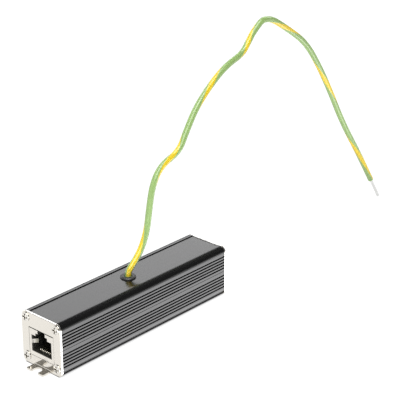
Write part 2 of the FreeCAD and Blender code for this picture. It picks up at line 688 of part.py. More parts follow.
def grommet():
    """Rubber bush, turned from its section, that grips the channel floor's hole."""
    wall_low = TOP_Z - BODY_WALL
    bottom = wall_low - GROMMET_INNER_HEIGHT
    bore = WIRE_BORE_RADIUS
    section = [
        (bore, bottom),
        (GROMMET_INNER_RADIUS, bottom),
        (GROMMET_INNER_RADIUS, wall_low),
        (GROMMET_NECK_RADIUS, wall_low),
        (GROMMET_NECK_RADIUS, PANEL_Z),
        (GROMMET_RADIUS, PANEL_Z),
        (GROMMET_RADIUS, PANEL_Z + GROMMET_RIM),
        (GROMMET_TOP_RADIUS, GROMMET_TOP_Z),
        (bore + GROMMET_MOUTH, GROMMET_TOP_Z),
        (bore, GROMMET_TOP_Z - GROMMET_MOUTH),
    ]
    points = [V(radius, 0, z) for radius, z in section]
    bush = Part.Face(Part.makePolygon(points + points[:1])).revolve(V(0, 0, 0), V(0, 0, 1), 360)
    bush.translate(V(GROMMET_X, GROMMET_Y, 0))
    return bush


def wire_points():
    return [(GROMMET_X + x, GROMMET_Y + y, GROMMET_TOP_Z + z) for x, y, z in WIRE_ROUTE]


def earth_wire():
    """The insulated wire outside the housing."""
    wire, length, turns = pipe(wire_points(), WIRE_RADIUS)
    section = math.pi * WIRE_RADIUS ** 2
    print("earth wire length", round(length, 1), "volume ratio", round(wire.Volume / (section * length), 5))
    print("earth wire arc radii and turns", turns)
    return wire


def earth_wire_end():
    """The bare tinned end, straight on from the insulation, with a round tip."""
    points = [V(*point) for point in wire_points()[-2:]]
    along = points[1] - points[0]
    along.normalize()
    core = Part.makeCylinder(CONDUCTOR_RADIUS, END_LENGTH, points[1], along)
    tip = points[1] + along * END_LENGTH
    return core.fuse(Part.makeSphere(CONDUCTOR_RADIUS, tip)).removeSplitter()


def earth_wire_lead():
    """The same wire inside: down the grommet, stripped, through the board."""
    strip_z = BOARD_TOP_Z + LEAD_STRIP_ABOVE_BOARD
    place = (GROMMET_X, GROMMET_Y, strip_z)
    insulated = rod(WIRE_RADIUS, GROMMET_TOP_Z - strip_z, place, (0, 0, 1))
    low = BOARD_BOTTOM_Z - LEAD_BELOW_BOARD
    core = rod(CONDUCTOR_RADIUS, strip_z - low + 0.1, (GROMMET_X, GROMMET_Y, low), (0, 0, 1))
    return insulated.fuse(core).removeSplitter()


def earth_solder_joint():
    """The cone of solder that holds the conductor under the board."""
    place = V(GROMMET_X, GROMMET_Y, BOARD_BOTTOM_Z - SOLDER_HEIGHT)
    cone = Part.makeCone(SOLDER_TIP_RADIUS, SOLDER_RADIUS, SOLDER_HEIGHT, place, V(0, 0, 1))
    return cone.cut(rod(CONDUCTOR_RADIUS, SOLDER_HEIGHT + 2, (place.x, place.y, place.z - 1), (0, 0, 1)))


def both_ends(name, shape):
    return {name + "_front": shape, name + "_rear": at_rear(shape)}


def all_parts():
    parts = {"housing_extrusion": housing_extrusion()}
    parts.update(both_ends("end_plate", end_plate()))
    parts.update(both_ends("plate_screws", plate_screws()))
    parts.update(both_ends("jack_shield", jack_shield()))
    parts.update(both_ends("jack_insulator", jack_insulator()))
    for number in range(CONTACTS):
        wire = contact_wire(number)
        parts["jack_contact_front_%d" % (number + 1)] = wire
        parts["jack_contact_rear_%d" % (number + 1)] = at_rear(wire)
    parts["circuit_board"] = circuit_board()
    for number, place in enumerate(gas_tube_places()):
        parts["gas_tube_%d" % (number + 1)] = gas_tube(*place)
    for number, place in enumerate(resistor_places()):
        parts["series_resistor_%d" % (number + 1)] = series_resistor(*place)
    diode_places = [(side * DIODE_X, y) for y in DIODE_Y for side in (-1, 1)]
    for number, place in enumerate(diode_places):
        parts["surge_diode_array_%d" % (number + 1)] = diode_array(*place)
    parts["shield_capacitor"] = shield_capacitor()
    parts["grommet"] = grommet()
    parts["earth_wire"] = earth_wire()
    parts["earth_wire_end"] = earth_wire_end()
    parts["earth_wire_lead"] = earth_wire_lead()
    parts["earth_solder_joint"] = earth_solder_joint()
    return parts


os.makedirs("parts", exist_ok=True)
for node, shape in all_parts().items():
    box = shape.BoundBox
    sound = shape.isValid() and all(solid.Volume > 0 for solid in shape.Solids)
    print(node, "solids", len(shape.Solids), "sound", sound, "low z", round(box.ZMin, 3))
    shape.exportStep("parts/" + node + ".step")
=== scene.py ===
import bmesh
import bpy
import json
import math
from mathutils import Matrix, Vector


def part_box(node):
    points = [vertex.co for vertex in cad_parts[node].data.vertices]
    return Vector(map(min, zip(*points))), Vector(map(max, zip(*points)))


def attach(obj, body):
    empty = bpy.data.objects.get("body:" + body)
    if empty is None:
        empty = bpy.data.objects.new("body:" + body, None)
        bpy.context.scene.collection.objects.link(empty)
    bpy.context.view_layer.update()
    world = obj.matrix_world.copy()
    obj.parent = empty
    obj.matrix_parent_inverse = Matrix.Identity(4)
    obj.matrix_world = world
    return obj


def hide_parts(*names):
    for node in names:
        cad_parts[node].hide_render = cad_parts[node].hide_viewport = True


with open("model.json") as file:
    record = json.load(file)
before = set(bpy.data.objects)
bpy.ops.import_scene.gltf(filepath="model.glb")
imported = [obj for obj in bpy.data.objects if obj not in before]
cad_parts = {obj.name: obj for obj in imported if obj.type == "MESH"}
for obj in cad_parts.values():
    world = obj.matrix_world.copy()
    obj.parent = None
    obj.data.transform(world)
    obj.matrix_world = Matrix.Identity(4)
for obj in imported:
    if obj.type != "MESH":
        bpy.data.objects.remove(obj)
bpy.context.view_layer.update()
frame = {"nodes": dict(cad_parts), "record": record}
nodes = frame["nodes"]

MM = 0.001
Z_AXIS = Vector((0, 0, 1))

# Places read from the frame. Its origin is under the middle of the housing, whose
# ends and sides are mirror images, so one end's places serve for both.
HOUSING_LOW, HOUSING_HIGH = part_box("housing_extrusion")
HOUSING_MIDDLE = (HOUSING_LOW.z + HOUSING_HIGH.z) / 2
GROMMET_LOW, GROMMET_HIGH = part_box("grommet")
_, PLATE_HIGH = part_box("end_plate_front")
CONTACT_LOW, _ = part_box("jack_contact_front_1")
SLOTS = {subpart["node"]: subpart["material_slot"] for subpart in frame["record"]["subparts"]}

# Camera, at the photograph's viewing angle, its lens and sensor in millimetres
CAMERA_PLACE = Vector((0.41833, -0.41498, 0.31614))
CAMERA_AZIMUTH = math.radians(42.005)
CAMERA_ELEVATION = math.radians(23.2)
CAMERA_LENS = 127.84
CAMERA_SENSOR = 36.0
CAMERA_NEAR = 0.01
CAMERA_FAR = 50.0

# Studio floor: how far it reaches in metres, its own glow, and round lamps in it
# given by their middle, their reach and their brightness
FLOOR_REACH = 8.0
FLOOR_COLOUR = (0.20, 0.20, 0.20)
FLOOR_ROUGHNESS = 0.9
FLOOR_GLOW = 0.77
FLOOR_LAMPS = (
    ((0.12, -0.135, 0.0), 0.09, 4.0),
    ((0.09, 0.17, 0.0), 0.05, 4.0),
)
LAMP_SOFTNESS = 0.3  # as a share of the lamp's reach

# Bright strip in the floor along the housing's right side
STRIP_LEVEL = 3.4
STRIP_START = 0.5 * MM
STRIP_WIDTH = 60 * MM
STRIP_MIDDLE = 25 * MM
STRIP_HALF_LENGTH = 85 * MM
STRIP_SOFTNESS = 8 * MM

# Shade under the housing, which stops short of its sides and passes its ends
SHADE_SIDE_INSET = 1.6 * MM
SHADE_SIDE_SOFTNESS = 0.6 * MM
SHADE_END_REACH = 1.15 * MM
SHADE_END_SOFTNESS = 0.15 * MM

# Studio light: the room, and soft panels overhead, high on the left and above the
# camera, given by where they stand, their reach in degrees and their brightness
ROOM_COLOUR = (1, 1, 1)
ROOM_LIGHT = 0.14
LIGHT_PANELS = (
    ((0.0, 0.0, 1.0), 20.0, 5.0),
    ((-0.62, -0.25, 0.74), 16.0, 0.10),
    ((0.38, -0.46, 0.80), 26.0, 5.0),
)
PANEL_SOFTNESS = 0.015

# Pale walls behind the housing and on its left, as the camera sees it: where they
# stand, the lowest and highest rise of their direction, and their brightness
LIGHT_WALLS = (
    ((-0.7, 0.7, 0.0), 0.30, 0.575, 2.95),
    ((-0.67, -0.74, 0.0), 0.0, 0.45, 0.95),
)
WALL_SOFTNESS = 0.03
WALL_FACING = 0.45
WALL_FACING_SOFTNESS = 0.15

# Earth wire: the route's points in millimetres, each with the turn of the
# insulation there in degrees, which winds the yellow stripe round the wire
WIRE_ROUTE = (
    (0.0, 0.0, 26.2, -42),
    (0.0, 0.0, 27.9, -52),
    (0.35, 2.0, 30.4, -60),
    (0.2, 6.2, 33.8, -78),
    (-0.1, 9.8, 37.8, -110),
    (-0.2, 13.2, 45.0, -160),
    (-0.3, 15.0, 55.1, -230),
    (-0.5, 17.6, 65.9, -310),
    (-0.8, 23.7, 73.5, -375),
    (-1.6, 36.8, 76.4, -470),
    (-2.1, 42.2, 84.6, -565),
    (-3.2, 51.0, 95.0, -680),
    (-5.1, 66.3, 104.4, -825),
    (-6.5, 77.1, 108.4, -945),
    (-7.8, 88.6, 110.4, -1065),
    (-8.3, 93.5, 114.8, -1145),
    (-8.7, 98.0, 119.4, -1225),
    (-9.6, 108.5, 125.2, -1320),
    (-9.8, 127.5, 113.6, -1485),
    (-9.3, 141.2, 103.6, -1600),
    (-8.5, 151.7, 88.8, -1715),
    (-7.6, 160.6, 73.5, -1830),
    (-6.4, 171.6, 52.5, -1975),
    (-5.0, 187.2, 29.1, -2165),
    (-4.3, 197.4, 12.6, -2228),
)
WIRE_RADIUS = 1.55 * MM
WIRE_STEPS = 24  # between one point of the route and the next
WIRE_ROUNDING = 10  # the curve's bevel resolution

# Insulation: its colours, and the stripe's middle and share of the way round
GREEN = (0.195, 0.305, 0.095)
PALE_GREEN = (0.23, 0.345, 0.12)
YELLOW = (0.55, 0.405, 0.012)
PALE_YELLOW = (0.60, 0.45, 0.02)
STRIPE_MIDDLE = 0.5
STRIPE_SHARE = 0.26
STRIPE_SOFTNESS = 0.008
INSULATION_CLOUDS = (900, 900, 900)  # features a metre along each axis
INSULATION_IOR = 1.6
INSULATION_ROUGHNESS = 0.20
INSULATION_ROUGHER = 0.08
INSULATION_RELIEF = 0.01 * MM

# Bare end: strands twisted round a core, their lay one turn's length
END_LENGTH = 13.7 * MM
CONDUCTOR_RADIUS = 0.85 * MM
STRANDS = 7
STRAND_RADIUS = CONDUCTOR_RADIUS / 3
STRAND_LAY = 15.0 * MM
STRAND_SIDES = 8
STRAND_STEPS = 90
TIP_STEPS = 6
TIP_TAPER = 0.86  # from one of the tip's steps to the next
CORE_RADIUS = CONDUCTOR_RADIUS / 2
CORE_TIP_RADIUS = 0.8 * CORE_RADIUS
CORE_SIDES = 24

# Rubber bush in the top
BUSH_BORE = 1.6 * MM
BUSH_FOOT_RADIUS = 3.4 * MM
BUSH_FOOT = 1.2 * MM
BUSH_NECK_RADIUS = 2.65 * MM
BUSH_RADIUS = 3.7 * MM
BUSH_RIM = 0.45 * MM
BUSH_TOP_RADIUS = 3.0 * MM
BUSH_HEIGHT = 0.9 * MM
BUSH_MOUTH = 0.35 * MM
BUSH_EASE = 0.2 * MM
BUSH_EASE_STEPS = 4
BUSH_SIDES = 64

# Meshes: what is merged, what counts as flat, what is rounded and what looks smooth
MERGED_DISTANCE = 0.0005 * MM
FLAT_ANGLE = math.radians(0.5)
EASED_ANGLE = math.radians(40)
EASED_STEPS = 2
SMOOTH_ANGLE = math.radians(60)

# Metal and moulded pieces whose edges are eased: name, node, width of the edge
EASED_PIECES = (
    ("end_plate_front_sheet", "end_plate_front", 0.10 * MM),
    ("end_plate_rear_sheet", "end_plate_rear", 0.10 * MM),
    ("plate_screws_front_heads", "plate_screws_front", 0.07 * MM),
    ("plate_screws_rear_heads", "plate_screws_rear", 0.07 * MM),
    ("jack_shield_front_can", "jack_shield_front", 0.05 * MM),
    ("jack_shield_rear_can", "jack_shield_rear", 0.05 * MM),
    ("jack_insulator_front_body", "jack_insulator_front", 0.04 * MM),
    ("jack_insulator_rear_body", "jack_insulator_rear", 0.04 * MM),
)

# Housing: its eased edges, and its side grooves with their rounded lips
HOUSING_EASE = 0.07 * MM
GROOVES_MIDDLE = HOUSING_MIDDLE - 0.3 * MM  # between the upper and the lower group
GROOVES_NEAREST = 1.0 * MM  # no lip is nearer to that middle than this
GROOVES_REACH = 8.6 * MM
GROOVE_LIP = 0.2 * MM
GROOVE_LIP_STEPS = 4
ON_SIDE = 0.01 * MM

# Black anodised finish: die lines along the extrusion, grain, painted shade in the grooves, dust
ANODISED = (0.050, 0.050, 0.051)
PALE_ANODISED = (0.059, 0.059, 0.0595)
DIE_LINES = (5200, 26, 5200)  # features a metre along each axis
DIE_GRAIN = (9000, 9000, 9000)
ANODISED_ROUGHNESS = 0.18
DIE_LINES_ROUGHER = 0.07
DIE_GRAIN_ROUGHER = 0.05
DIE_LINES_RELIEF = 0.7  # the lines' share of the relief, the grain's being the rest
ANODISED_RELIEF = 0.004 * MM
# Painted shade: the insides of the grooves are coloured darker than the ridges
GROOVE_SHADE_COLOUR = (0.0125, 0.0125, 0.013)
GROOVE_DEPTH = 0.12 * MM
GROOVE_DEPTH_SOFTNESS = 0.08 * MM
GROOVES_SOFTNESS = 0.1 * MM
DUST_COLOUR = (0.20, 0.195, 0.185)
DUST_COVER = 0.7
DUST_SPACING = 26 * MM
DUST_RADIUS = 0.22 * MM
SPECK_SOFTNESS = 0.3  # as a share of the speck's radius

# Plated metals: bright colour, dull colour, roughness, relief of the rolling marks
BRIGHT_NICKEL = (0.84, 0.82, 0.78)
NICKEL = (0.75, 0.72, 0.66)
DULL_NICKEL = (0.715, 0.68, 0.62)
PLATED = {
    "bright_plate": (NICKEL, DULL_NICKEL, 0.10, 0.002 * MM),
    "jack_shield": (NICKEL, DULL_NICKEL, 0.14, 0.002 * MM),
    "screw_steel": (BRIGHT_NICKEL, NICKEL, 0.12, 0.002 * MM),
    "contact_gold": ((0.98, 0.93, 0.80), (0.95, 0.89, 0.74), 0.24, 0.001 * MM),
    "tinned_copper": ((0.78, 0.78, 0.77), (0.68, 0.68, 0.67), 0.20, 0.003 * MM),
    "solder": (BRIGHT_NICKEL, (0.74, 0.73, 0.70), 0.20, 0.010 * MM),
}
PLATED_CLOUDS = (160, 160, 160)  # features a metre along each axis
ROLLING_MARKS = (2400, 2400, 300)
PLATED_CLOUDS_ROUGHER = 0.06
ROLLING_MARKS_ROUGHER = 0.05

# End plates: pale satin rims where the sheet was sheared, lightened by a painted highlight,
# and on the strip of the inner face that shows above the channel in the housing's top
# Painted highlight: the rims are coloured near white
RIM_HIGHLIGHT_COLOUR = (0.97, 0.96, 0.94)
RIM = 0.03 * MM
RIM_SOFTNESS = 0.02 * MM
INNER_RIM = 0.45 * MM
RIM_ROUGHER = 0.3
RIM_LESS_METALLIC = 0.7

# Jack shields: painted shade on the fingers, from just inside the housing's end
FINGER_SHADE_COLOUR = (0.30, 0.29, 0.24)
FINGER_START = HOUSING_HIGH.y - 0.3 * MM
FINGER_SOFTNESS = 0.8 * MM

# Contacts: bright on the bend that a plug meets, and shaded behind it
SHADED_GOLD = (0.10, 0.09, 0.06)
CONTACT_BRIGHT = 0.4 * MM
CONTACT_SOFTNESS = 0.08 * MM

# Screws: how far their axes lie inside the housing's faces, and where shade is painted on
# their heads, which is in the arms of the recess and on the foot under the rim
SCREW_INSET = 2.85 * MM
SCREW_X = HOUSING_HIGH.x - SCREW_INSET
SCREW_Z = HOUSING_HIGH.z - HOUSING_MIDDLE - SCREW_INSET
HEAD_FOOT = HOUSING_HIGH.y + 1.08 * MM
RECESS_TOP = HOUSING_HIGH.y + 1.48 * MM
RECESS_SHADE_COLOUR = (0.16, 0.15, 0.12)
RECESS_INNER = 0.5 * MM
RECESS_INNER_SOFTNESS = 0.1 * MM
RECESS_OUTER = 1.75 * MM
RECESS_SOFTNESS = 0.05 * MM

# Moulded and coated pieces: colour, roughness, size of the grain, its relief
MOULDED = {
    "jack_plastic": ((0.022, 0.022, 0.018), 0.35, 0.30 * MM, 0.004 * MM),
    "board": ((0.02, 0.16, 0.05), 0.35, 0.50 * MM, 0.010 * MM),
    "gas_tube": ((0.75, 0.75, 0.72), 0.30, 0.40 * MM, 0.010 * MM),
    "chip_ceramic": ((0.03, 0.03, 0.035), 0.35, 0.20 * MM, 0.006 * MM),
    "chip_plastic": ((0.025, 0.025, 0.025), 0.50, 0.20 * MM, 0.010 * MM),
    "capacitor_coat": ((0.03, 0.12, 0.42), 0.20, 0.80 * MM, 0.020 * MM),
    "grommet_rubber": ((0.018, 0.018, 0.017), 0.40, 0.25 * MM, 0.012 * MM),
}
MOULDED_DARKER = 0.75
MOULDED_ROUGHER = 0.1

# Sockets of a Mix node that mixes colours, by their numbers
MIX_FIRST = 6
MIX_SECOND = 7
MIX_RESULT = 2


class Number:
    """A number that nodes work out. Arithmetic on it adds Math nodes."""

    def __init__(self, graph, socket):
        self.graph = graph
        self.socket = socket

    def __add__(self, other):
        return self.graph.math("ADD", self, other)

    __radd__ = __add__

    def __sub__(self, other):
        return self.graph.math("SUBTRACT", self, other)

    def __rsub__(self, other):
        return self.graph.math("SUBTRACT", other, self)

    def __mul__(self, other):
        return self.graph.math("MULTIPLY", self, other)

    __rmul__ = __mul__

    def __abs__(self):
        return self.graph.math("ABSOLUTE", self)

    def larger(self, other):
        return self.graph.math("MAXIMUM", self, other)

    def root(self):
        return self.graph.math("SQRT", self)

    def above(self, edge, softness):
        """0 below the edge and 1 above it, with a soft step between."""
        settings = {"interpolation_type": "SMOOTHSTEP"}
        inputs = {"Value": self, "From Min": edge - softness, "From Max": edge + softness}
        return self.graph.number("ShaderNodeMapRange", "Result", settings, inputs)

    def below(self, edge, softness):
        return 1 - self.above(edge, softness)


class Graph:
    """The nodes of one finish, or of the studio's light."""

    def __init__(self, tree):
        self.tree = tree

    def node(self, kind, settings, inputs):
        """A new node: its settings, then the values or links of its sockets."""
        made = self.tree.nodes.new(kind)
        for name, value in settings.items():
            setattr(made, name, value)
        for socket, value in inputs.items():
            self.feed(made.inputs[socket], value)
        return made

    def feed(self, socket, value):
        """Link a socket, or set it to what is the same everywhere."""
        if isinstance(value, Number):
            value = value.socket
        if isinstance(value, bpy.types.NodeSocket):
            self.tree.links.new(value, socket)
        elif socket.type == "RGBA":
            socket.default_value = (*value, 1.0)
        else:
            socket.default_value = value

    def number(self, kind, output, settings, inputs):
        """The number that a new node gives at that output."""
        return Number(self, self.node(kind, settings, inputs).outputs[output])

    def math(self, operation, *values):
        settings = {"operation": operation}
        return self.number("ShaderNodeMath", "Value", settings, dict(enumerate(values)))

    def place(self, kind="Object"):
        return self.node("ShaderNodeTexCoord", {}, {}).outputs[kind]

    def along(self, axis, kind="Object"):
        """How far a place lies along one axis."""
        return self.number("ShaderNodeSeparateXYZ", axis, {}, {"Vector": self.place(kind)})

    def away_from(self, middle):
        """How far a place lies from a point."""
        inputs = {0: self.place(), 1: middle}
        return self.number("ShaderNodeVectorMath", "Value", {"operation": "DISTANCE"}, inputs)

    def towards(self, aim):
        """How nearly a direction of the studio's light points to the aim."""
        inputs = {0: self.place("Generated"), 1: aim}
        return self.number("ShaderNodeVectorMath", "Value", {"operation": "DOT_PRODUCT"}, inputs)


class Finish(Graph):
    """The material of one slot, or of the floor, on one Principled shader."""

    def __init__(self, slot, colour, **constants):
        self.slot = slot
        self.material = bpy.data.materials.new(slot)
        self.material.use_nodes = True
        super().__init__(self.material.node_tree)
        self.shader = self.tree.nodes["Principled BSDF"]
        self.fed = {}
        self.set("Base Color", colour)
        for socket, value in constants.items():
            self.set(socket.replace("_", " "), value)

    def set(self, socket, value):
        """Feed the shader, and keep the value for what is laid over it."""
        self.fed[socket] = value
        self.feed(self.shader.inputs[socket], value)

    def paint(self, mask, colour):
        """Lay a colour over the base colour, fully where the mask is 1."""
        self.set("Base Color", self.blend(mask, self.fed["Base Color"], colour))

    def blend(self, mask, first, second):
        """The first colour where the mask is 0, the second where it is 1."""
        inputs = {0: mask, MIX_FIRST: first, MIX_SECOND: second}
        return self.node("ShaderNodeMix", {"data_type": "RGBA"}, inputs).outputs[MIX_RESULT]

    def noise(self, features, detail):
        """Noise with that many features a metre along each axis."""
        inputs = {"Vector": self.place(), "Scale": features}
        scaled = self.node("ShaderNodeMapping", {}, inputs).outputs["Vector"]
        inputs = {"Vector": scaled, "Scale": 1.0, "Detail": detail}
        return self.number("ShaderNodeTexNoise", "Fac", {}, inputs)

    def specks(self, spacing, radius):
        """A few round dots, each about that far from the next."""
        inputs = {"Vector": self.place(), "Scale": 1 / spacing}
        near = self.number("ShaderNodeTexVoronoi", "Distance", {}, inputs)
        return near.below(radius / spacing, SPECK_SOFTNESS * radius / spacing)

    def bump(self, height, relief):
        """Relief of that many metres where the height goes from 0 to 1."""
        inputs = {"Distance": relief, "Height": height}
        self.set("Normal", self.node("ShaderNodeBump", {}, inputs).outputs["Normal"])


def anodised_finish():
    """Black anodised extrusion: die lines along it, painted shade in the grooves and a little dust.
    """
    finish = Finish("black_anodised", ANODISED, Metallic=1.0)
    lines = finish.noise(DIE_LINES, detail=2)
    grain = finish.noise(DIE_GRAIN, detail=2)
    groove_shade = abs(finish.along("X")).below(HOUSING_HIGH.x - GROOVE_DEPTH, GROOVE_DEPTH_SOFTNESS)
    level = abs(finish.along("Z") - GROOVES_MIDDLE)
    finish.paint(lines, PALE_ANODISED)
    # Painted shade in the grooves on both ribbed sides
    finish.paint(groove_shade * level.below(GROOVES_REACH, GROOVES_SOFTNESS), GROOVE_SHADE_COLOUR)
    finish.paint(finish.specks(DUST_SPACING, DUST_RADIUS) * DUST_COVER, DUST_COLOUR)
    rough = ANODISED_ROUGHNESS + lines * DIE_LINES_ROUGHER + grain * DIE_GRAIN_ROUGHER
    finish.set("Roughness", rough)
    finish.bump(lines * DIE_LINES_RELIEF + grain * (1 - DIE_LINES_RELIEF), ANODISED_RELIEF)
    return finish


def plated_finish(slot):
    """Plated metal with faint clouding and rolling marks."""
    bright, dull, rough, relief = PLATED[slot]
    finish = Finish(slot, dull, Metallic=1.0)
    clouds = finish.noise(PLATED_CLOUDS, detail=4)
    marks = finish.noise(ROLLING_MARKS, detail=2)
    finish.paint(clouds, bright)
    rough = rough + clouds * PLATED_CLOUDS_ROUGHER + marks * ROLLING_MARKS_ROUGHER
    finish.set("Roughness", rough)
    finish.bump(marks, relief)
    return finish


def plate_finish():
    """Bright plate with pale satin rims, partly a painted highlight."""
    finish = plated_finish("bright_plate")
    height = finish.along("Z")
    outward = abs(finish.along("Y"))
    side = abs(finish.along("X")).above(PLATE_HIGH.x - RIM, RIM_SOFTNESS)
    top = height.above(PLATE_HIGH.z - RIM, RIM_SOFTNESS)
    inner = height.above(PLATE_HIGH.z - INNER_RIM, RIM_SOFTNESS)
    inner = inner * outward.below(HOUSING_HIGH.y + RIM_SOFTNESS, RIM_SOFTNESS)
    rim = side.larger(top.larger(inner))
    # Painted highlight on the rims, which are also made rougher and less metallic
    finish.paint(rim, RIM_HIGHLIGHT_COLOUR)
    finish.set("Roughness", finish.fed["Roughness"] + rim * RIM_ROUGHER)
    finish.set("Metallic", 1 - rim * RIM_LESS_METALLIC)
    return finish


def shield_finish():
    """Plated sheet, with painted shade on the fingers that lean into the mouth."""
    finish = plated_finish("jack_shield")
    outward = abs(finish.along("Y"))
    # Painted shade: darker from just inside the housing's end inwards
    finish.paint(outward.below(FINGER_START, FINGER_SOFTNESS), FINGER_SHADE_COLOUR)
    return finish


def screw_finish():
    """Plated heads, with painted shade in the arms of the tool recess and under the rim."""
    finish = plated_finish("screw_steel")
    across = abs(finish.along("X")) - SCREW_X
    level = abs(finish.along("Z") - HOUSING_MIDDLE) - SCREW_Z
    radius = (across * across + level * level).root()
    outward = abs(finish.along("Y"))
    arms = radius.above(RECESS_INNER, RECESS_INNER_SOFTNESS)
    arms = arms * radius.below(RECESS_OUTER, RECESS_SOFTNESS)
    arms = arms * outward.below(RECESS_TOP, RECESS_SOFTNESS)
    foot = radius.above(RECESS_OUTER, RECESS_SOFTNESS) * outward.below(HEAD_FOOT, RECESS_SOFTNESS)
    # Painted shade in the recess arms and on the foot under the rim
    finish.paint(arms.larger(foot), RECESS_SHADE_COLOUR)
    return finish


def contact_finish():
    """Gold wires, bright at the bend that a plug meets and shaded behind it."""
    finish = plated_finish("contact_gold")
    outward = abs(finish.along("Y"))
    behind = outward.below(abs(CONTACT_LOW.y) - CONTACT_BRIGHT, CONTACT_SOFTNESS)
    finish.paint(behind, SHADED_GOLD)
    return finish


def moulded_finish(slot):
    """Moulded plastic, rubber or ceramic: even colour with a fine grain."""
    colour, rough, grain_size, relief = MOULDED[slot]
    darker = tuple(MOULDED_DARKER * channel for channel in colour)
    finish = Finish(slot, darker)
    grain = finish.noise((1 / grain_size,) * 3, detail=3)
    finish.paint(grain, colour)
    finish.set("Roughness", rough + grain * MOULDED_ROUGHER)
    finish.bump(grain, relief)
    return finish


def insulation_finish():
    """Glossy insulation, green with a yellow stripe along its own turn."""
    finish = Finish("wire_insulation", GREEN, IOR=INSULATION_IOR)
    clouds = finish.noise(INSULATION_CLOUDS, detail=2)
    around = finish.along("Y", "UV")
    stripe = abs(around - STRIPE_MIDDLE).below(STRIPE_SHARE / 2, STRIPE_SOFTNESS)
    finish.paint(clouds, PALE_GREEN)
    finish.paint(stripe, finish.blend(clouds, YELLOW, PALE_YELLOW))
    finish.set("Roughness", INSULATION_ROUGHNESS + clouds * INSULATION_ROUGHER)
    finish.bump(clouds, INSULATION_RELIEF)
    return finish


def paper_finish():
    """White paper that glows, more over its lamps and not under the housing."""
    finish = Finish(
        "studio_paper",
        FLOOR_COLOUR,
        Roughness=FLOOR_ROUGHNESS,
        Specular_IOR_Level=0.0,
        Emission_Strength=1.0,
    )
    across = finish.along("X")
    along = finish.along("Y")
    glow = FLOOR_GLOW
    for middle, reach, level in FLOOR_LAMPS:
        glow = glow + finish.away_from(middle).below(reach, LAMP_SOFTNESS * reach) * level
    beside = across - HOUSING_HIGH.x
    strip = beside.above(STRIP_START, STRIP_START) * beside.below(STRIP_WIDTH, STRIP_SOFTNESS)
    strip = strip * abs(along - STRIP_MIDDLE).below(STRIP_HALF_LENGTH, STRIP_SOFTNESS)
    shade = abs(across).below(HOUSING_HIGH.x - SHADE_SIDE_INSET, SHADE_SIDE_SOFTNESS)
    shade = shade * abs(along).below(HOUSING_HIGH.y + SHADE_END_REACH, SHADE_END_SOFTNESS)
    finish.set("Emission Color", (glow + strip * STRIP_LEVEL) * (1 - shade))
    return finish


def make_finishes():
    """The material of every slot."""
    made = [anodised_finish(), plate_finish(), shield_finish(), screw_finish()]
    made += [contact_finish(), insulation_finish()]
    made += [plated_finish("tinned_copper"), plated_finish("solder")]
    made += [moulded_finish(slot) for slot in MOULDED]
    return {finish.slot: finish.material for finish in made}


def finish_nodes():
    """Each CAD node takes the finish of its own slot."""
    for name, slot in SLOTS.items():
        for material_slot in nodes[name].material_slots:
            material_slot.material = finishes[slot]


def stand_in(piece, node):
    """A new piece rides on the body, takes the node's finish and replaces it."""
    piece.data.materials.clear()
    piece.data.materials.append(finishes[SLOTS[node]])
    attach(piece, "root")
    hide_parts(node)
    return piece


def new_piece(name, mesh):
    """An object from a bmesh, smooth apart from its sharp edges."""
    data = bpy.data.meshes.new(name)
    for face in mesh.faces:
        face.smooth = True
    for edge in mesh.edges:
        edge.smooth = len(edge.link_faces) == 2 and edge.calc_face_angle() < SMOOTH_ANGLE
    mesh.to_mesh(data)
    mesh.free()
    piece = bpy.data.objects.new(name, data)
    bpy.context.scene.collection.objects.link(piece)
    return piece


def ease(mesh, geometry, width, steps, affect="EDGES"):
    """Round edges, or the corners of an outline, by that width."""
    bmesh.ops.bevel(
        mesh,
        geom=geometry,
        offset=width,
        offset_type="OFFSET",
        affect=affect,
        segments=steps,
        profile=0.5,
        material=-1,
        clamp_overlap=True,
    )


def route_point(number):
    """A point of the earth wire's route, in metres."""
    return Vector(WIRE_ROUTE[number][:3]) * MM


def make_earth_wire():
    """The insulation: one smooth tube, whose turns wind the stripe round it."""
    curve = bpy.data.curves.new("earth_wire_insulation", "CURVE")
    curve.dimensions = "3D"
    curve.twist_mode = "MINIMUM"
    curve.resolution_u = WIRE_STEPS
    curve.bevel_depth = WIRE_RADIUS
    curve.bevel_resolution = WIRE_ROUNDING
    curve.use_fill_caps = True
    spline = curve.splines.new("NURBS")
    spline.points.add(len(WIRE_ROUTE) - 1)
    for point, (x, y, z, turn) in zip(spline.points, WIRE_ROUTE):
        point.co = (x * MM, y * MM, z * MM, 1)
        point.tilt = math.radians(turn)
    spline.order_u = 3
    spline.use_endpoint_u = True
    wire = bpy.data.objects.new("earth_wire_insulation", curve)
    bpy.context.scene.collection.objects.link(wire)
    return stand_in(wire, "earth_wire")


def wind_strand(mesh, start_angle):
    """One strand: a small ring wound round the axis and closed at both ends."""
    ring = bmesh.ops.create_circle(
        mesh,
        cap_ends=True,
        segments=STRAND_SIDES,
        radius=STRAND_RADIUS,
    )["verts"]
    bmesh.ops.translate(mesh, verts=ring, vec=(CONDUCTOR_RADIUS - STRAND_RADIUS, 0, 0))
    bmesh.ops.rotate(mesh, verts=ring, cent=(0, 0, 0), matrix=Matrix.Rotation(start_angle, 3, "Z"))
    step_turn = math.tau * END_LENGTH / STRAND_LAY / STRAND_STEPS
    cap = list({face for vertex in ring for face in vertex.link_faces})
    for step in range(STRAND_STEPS + TIP_STEPS):
        made = bmesh.ops.extrude_face_region(mesh, geom=cap)["geom"]
        verts = [item for item in made if isinstance(item, bmesh.types.BMVert)]
        if step > 0:
            bmesh.ops.delete(mesh, geom=cap, context="FACES_ONLY")
        cap = [item for item in made if isinstance(item, bmesh.types.BMFace)]
        bmesh.ops.translate(mesh, verts=verts, vec=(0, 0, END_LENGTH / STRAND_STEPS))
        bmesh.ops.rotate(mesh, verts=verts, cent=(0, 0, 0), matrix=Matrix.Rotation(step_turn, 3, "Z"))
        if step >= STRAND_STEPS:
            bmesh.ops.scale(mesh, verts=verts, vec=(TIP_TAPER, TIP_TAPER, 1))


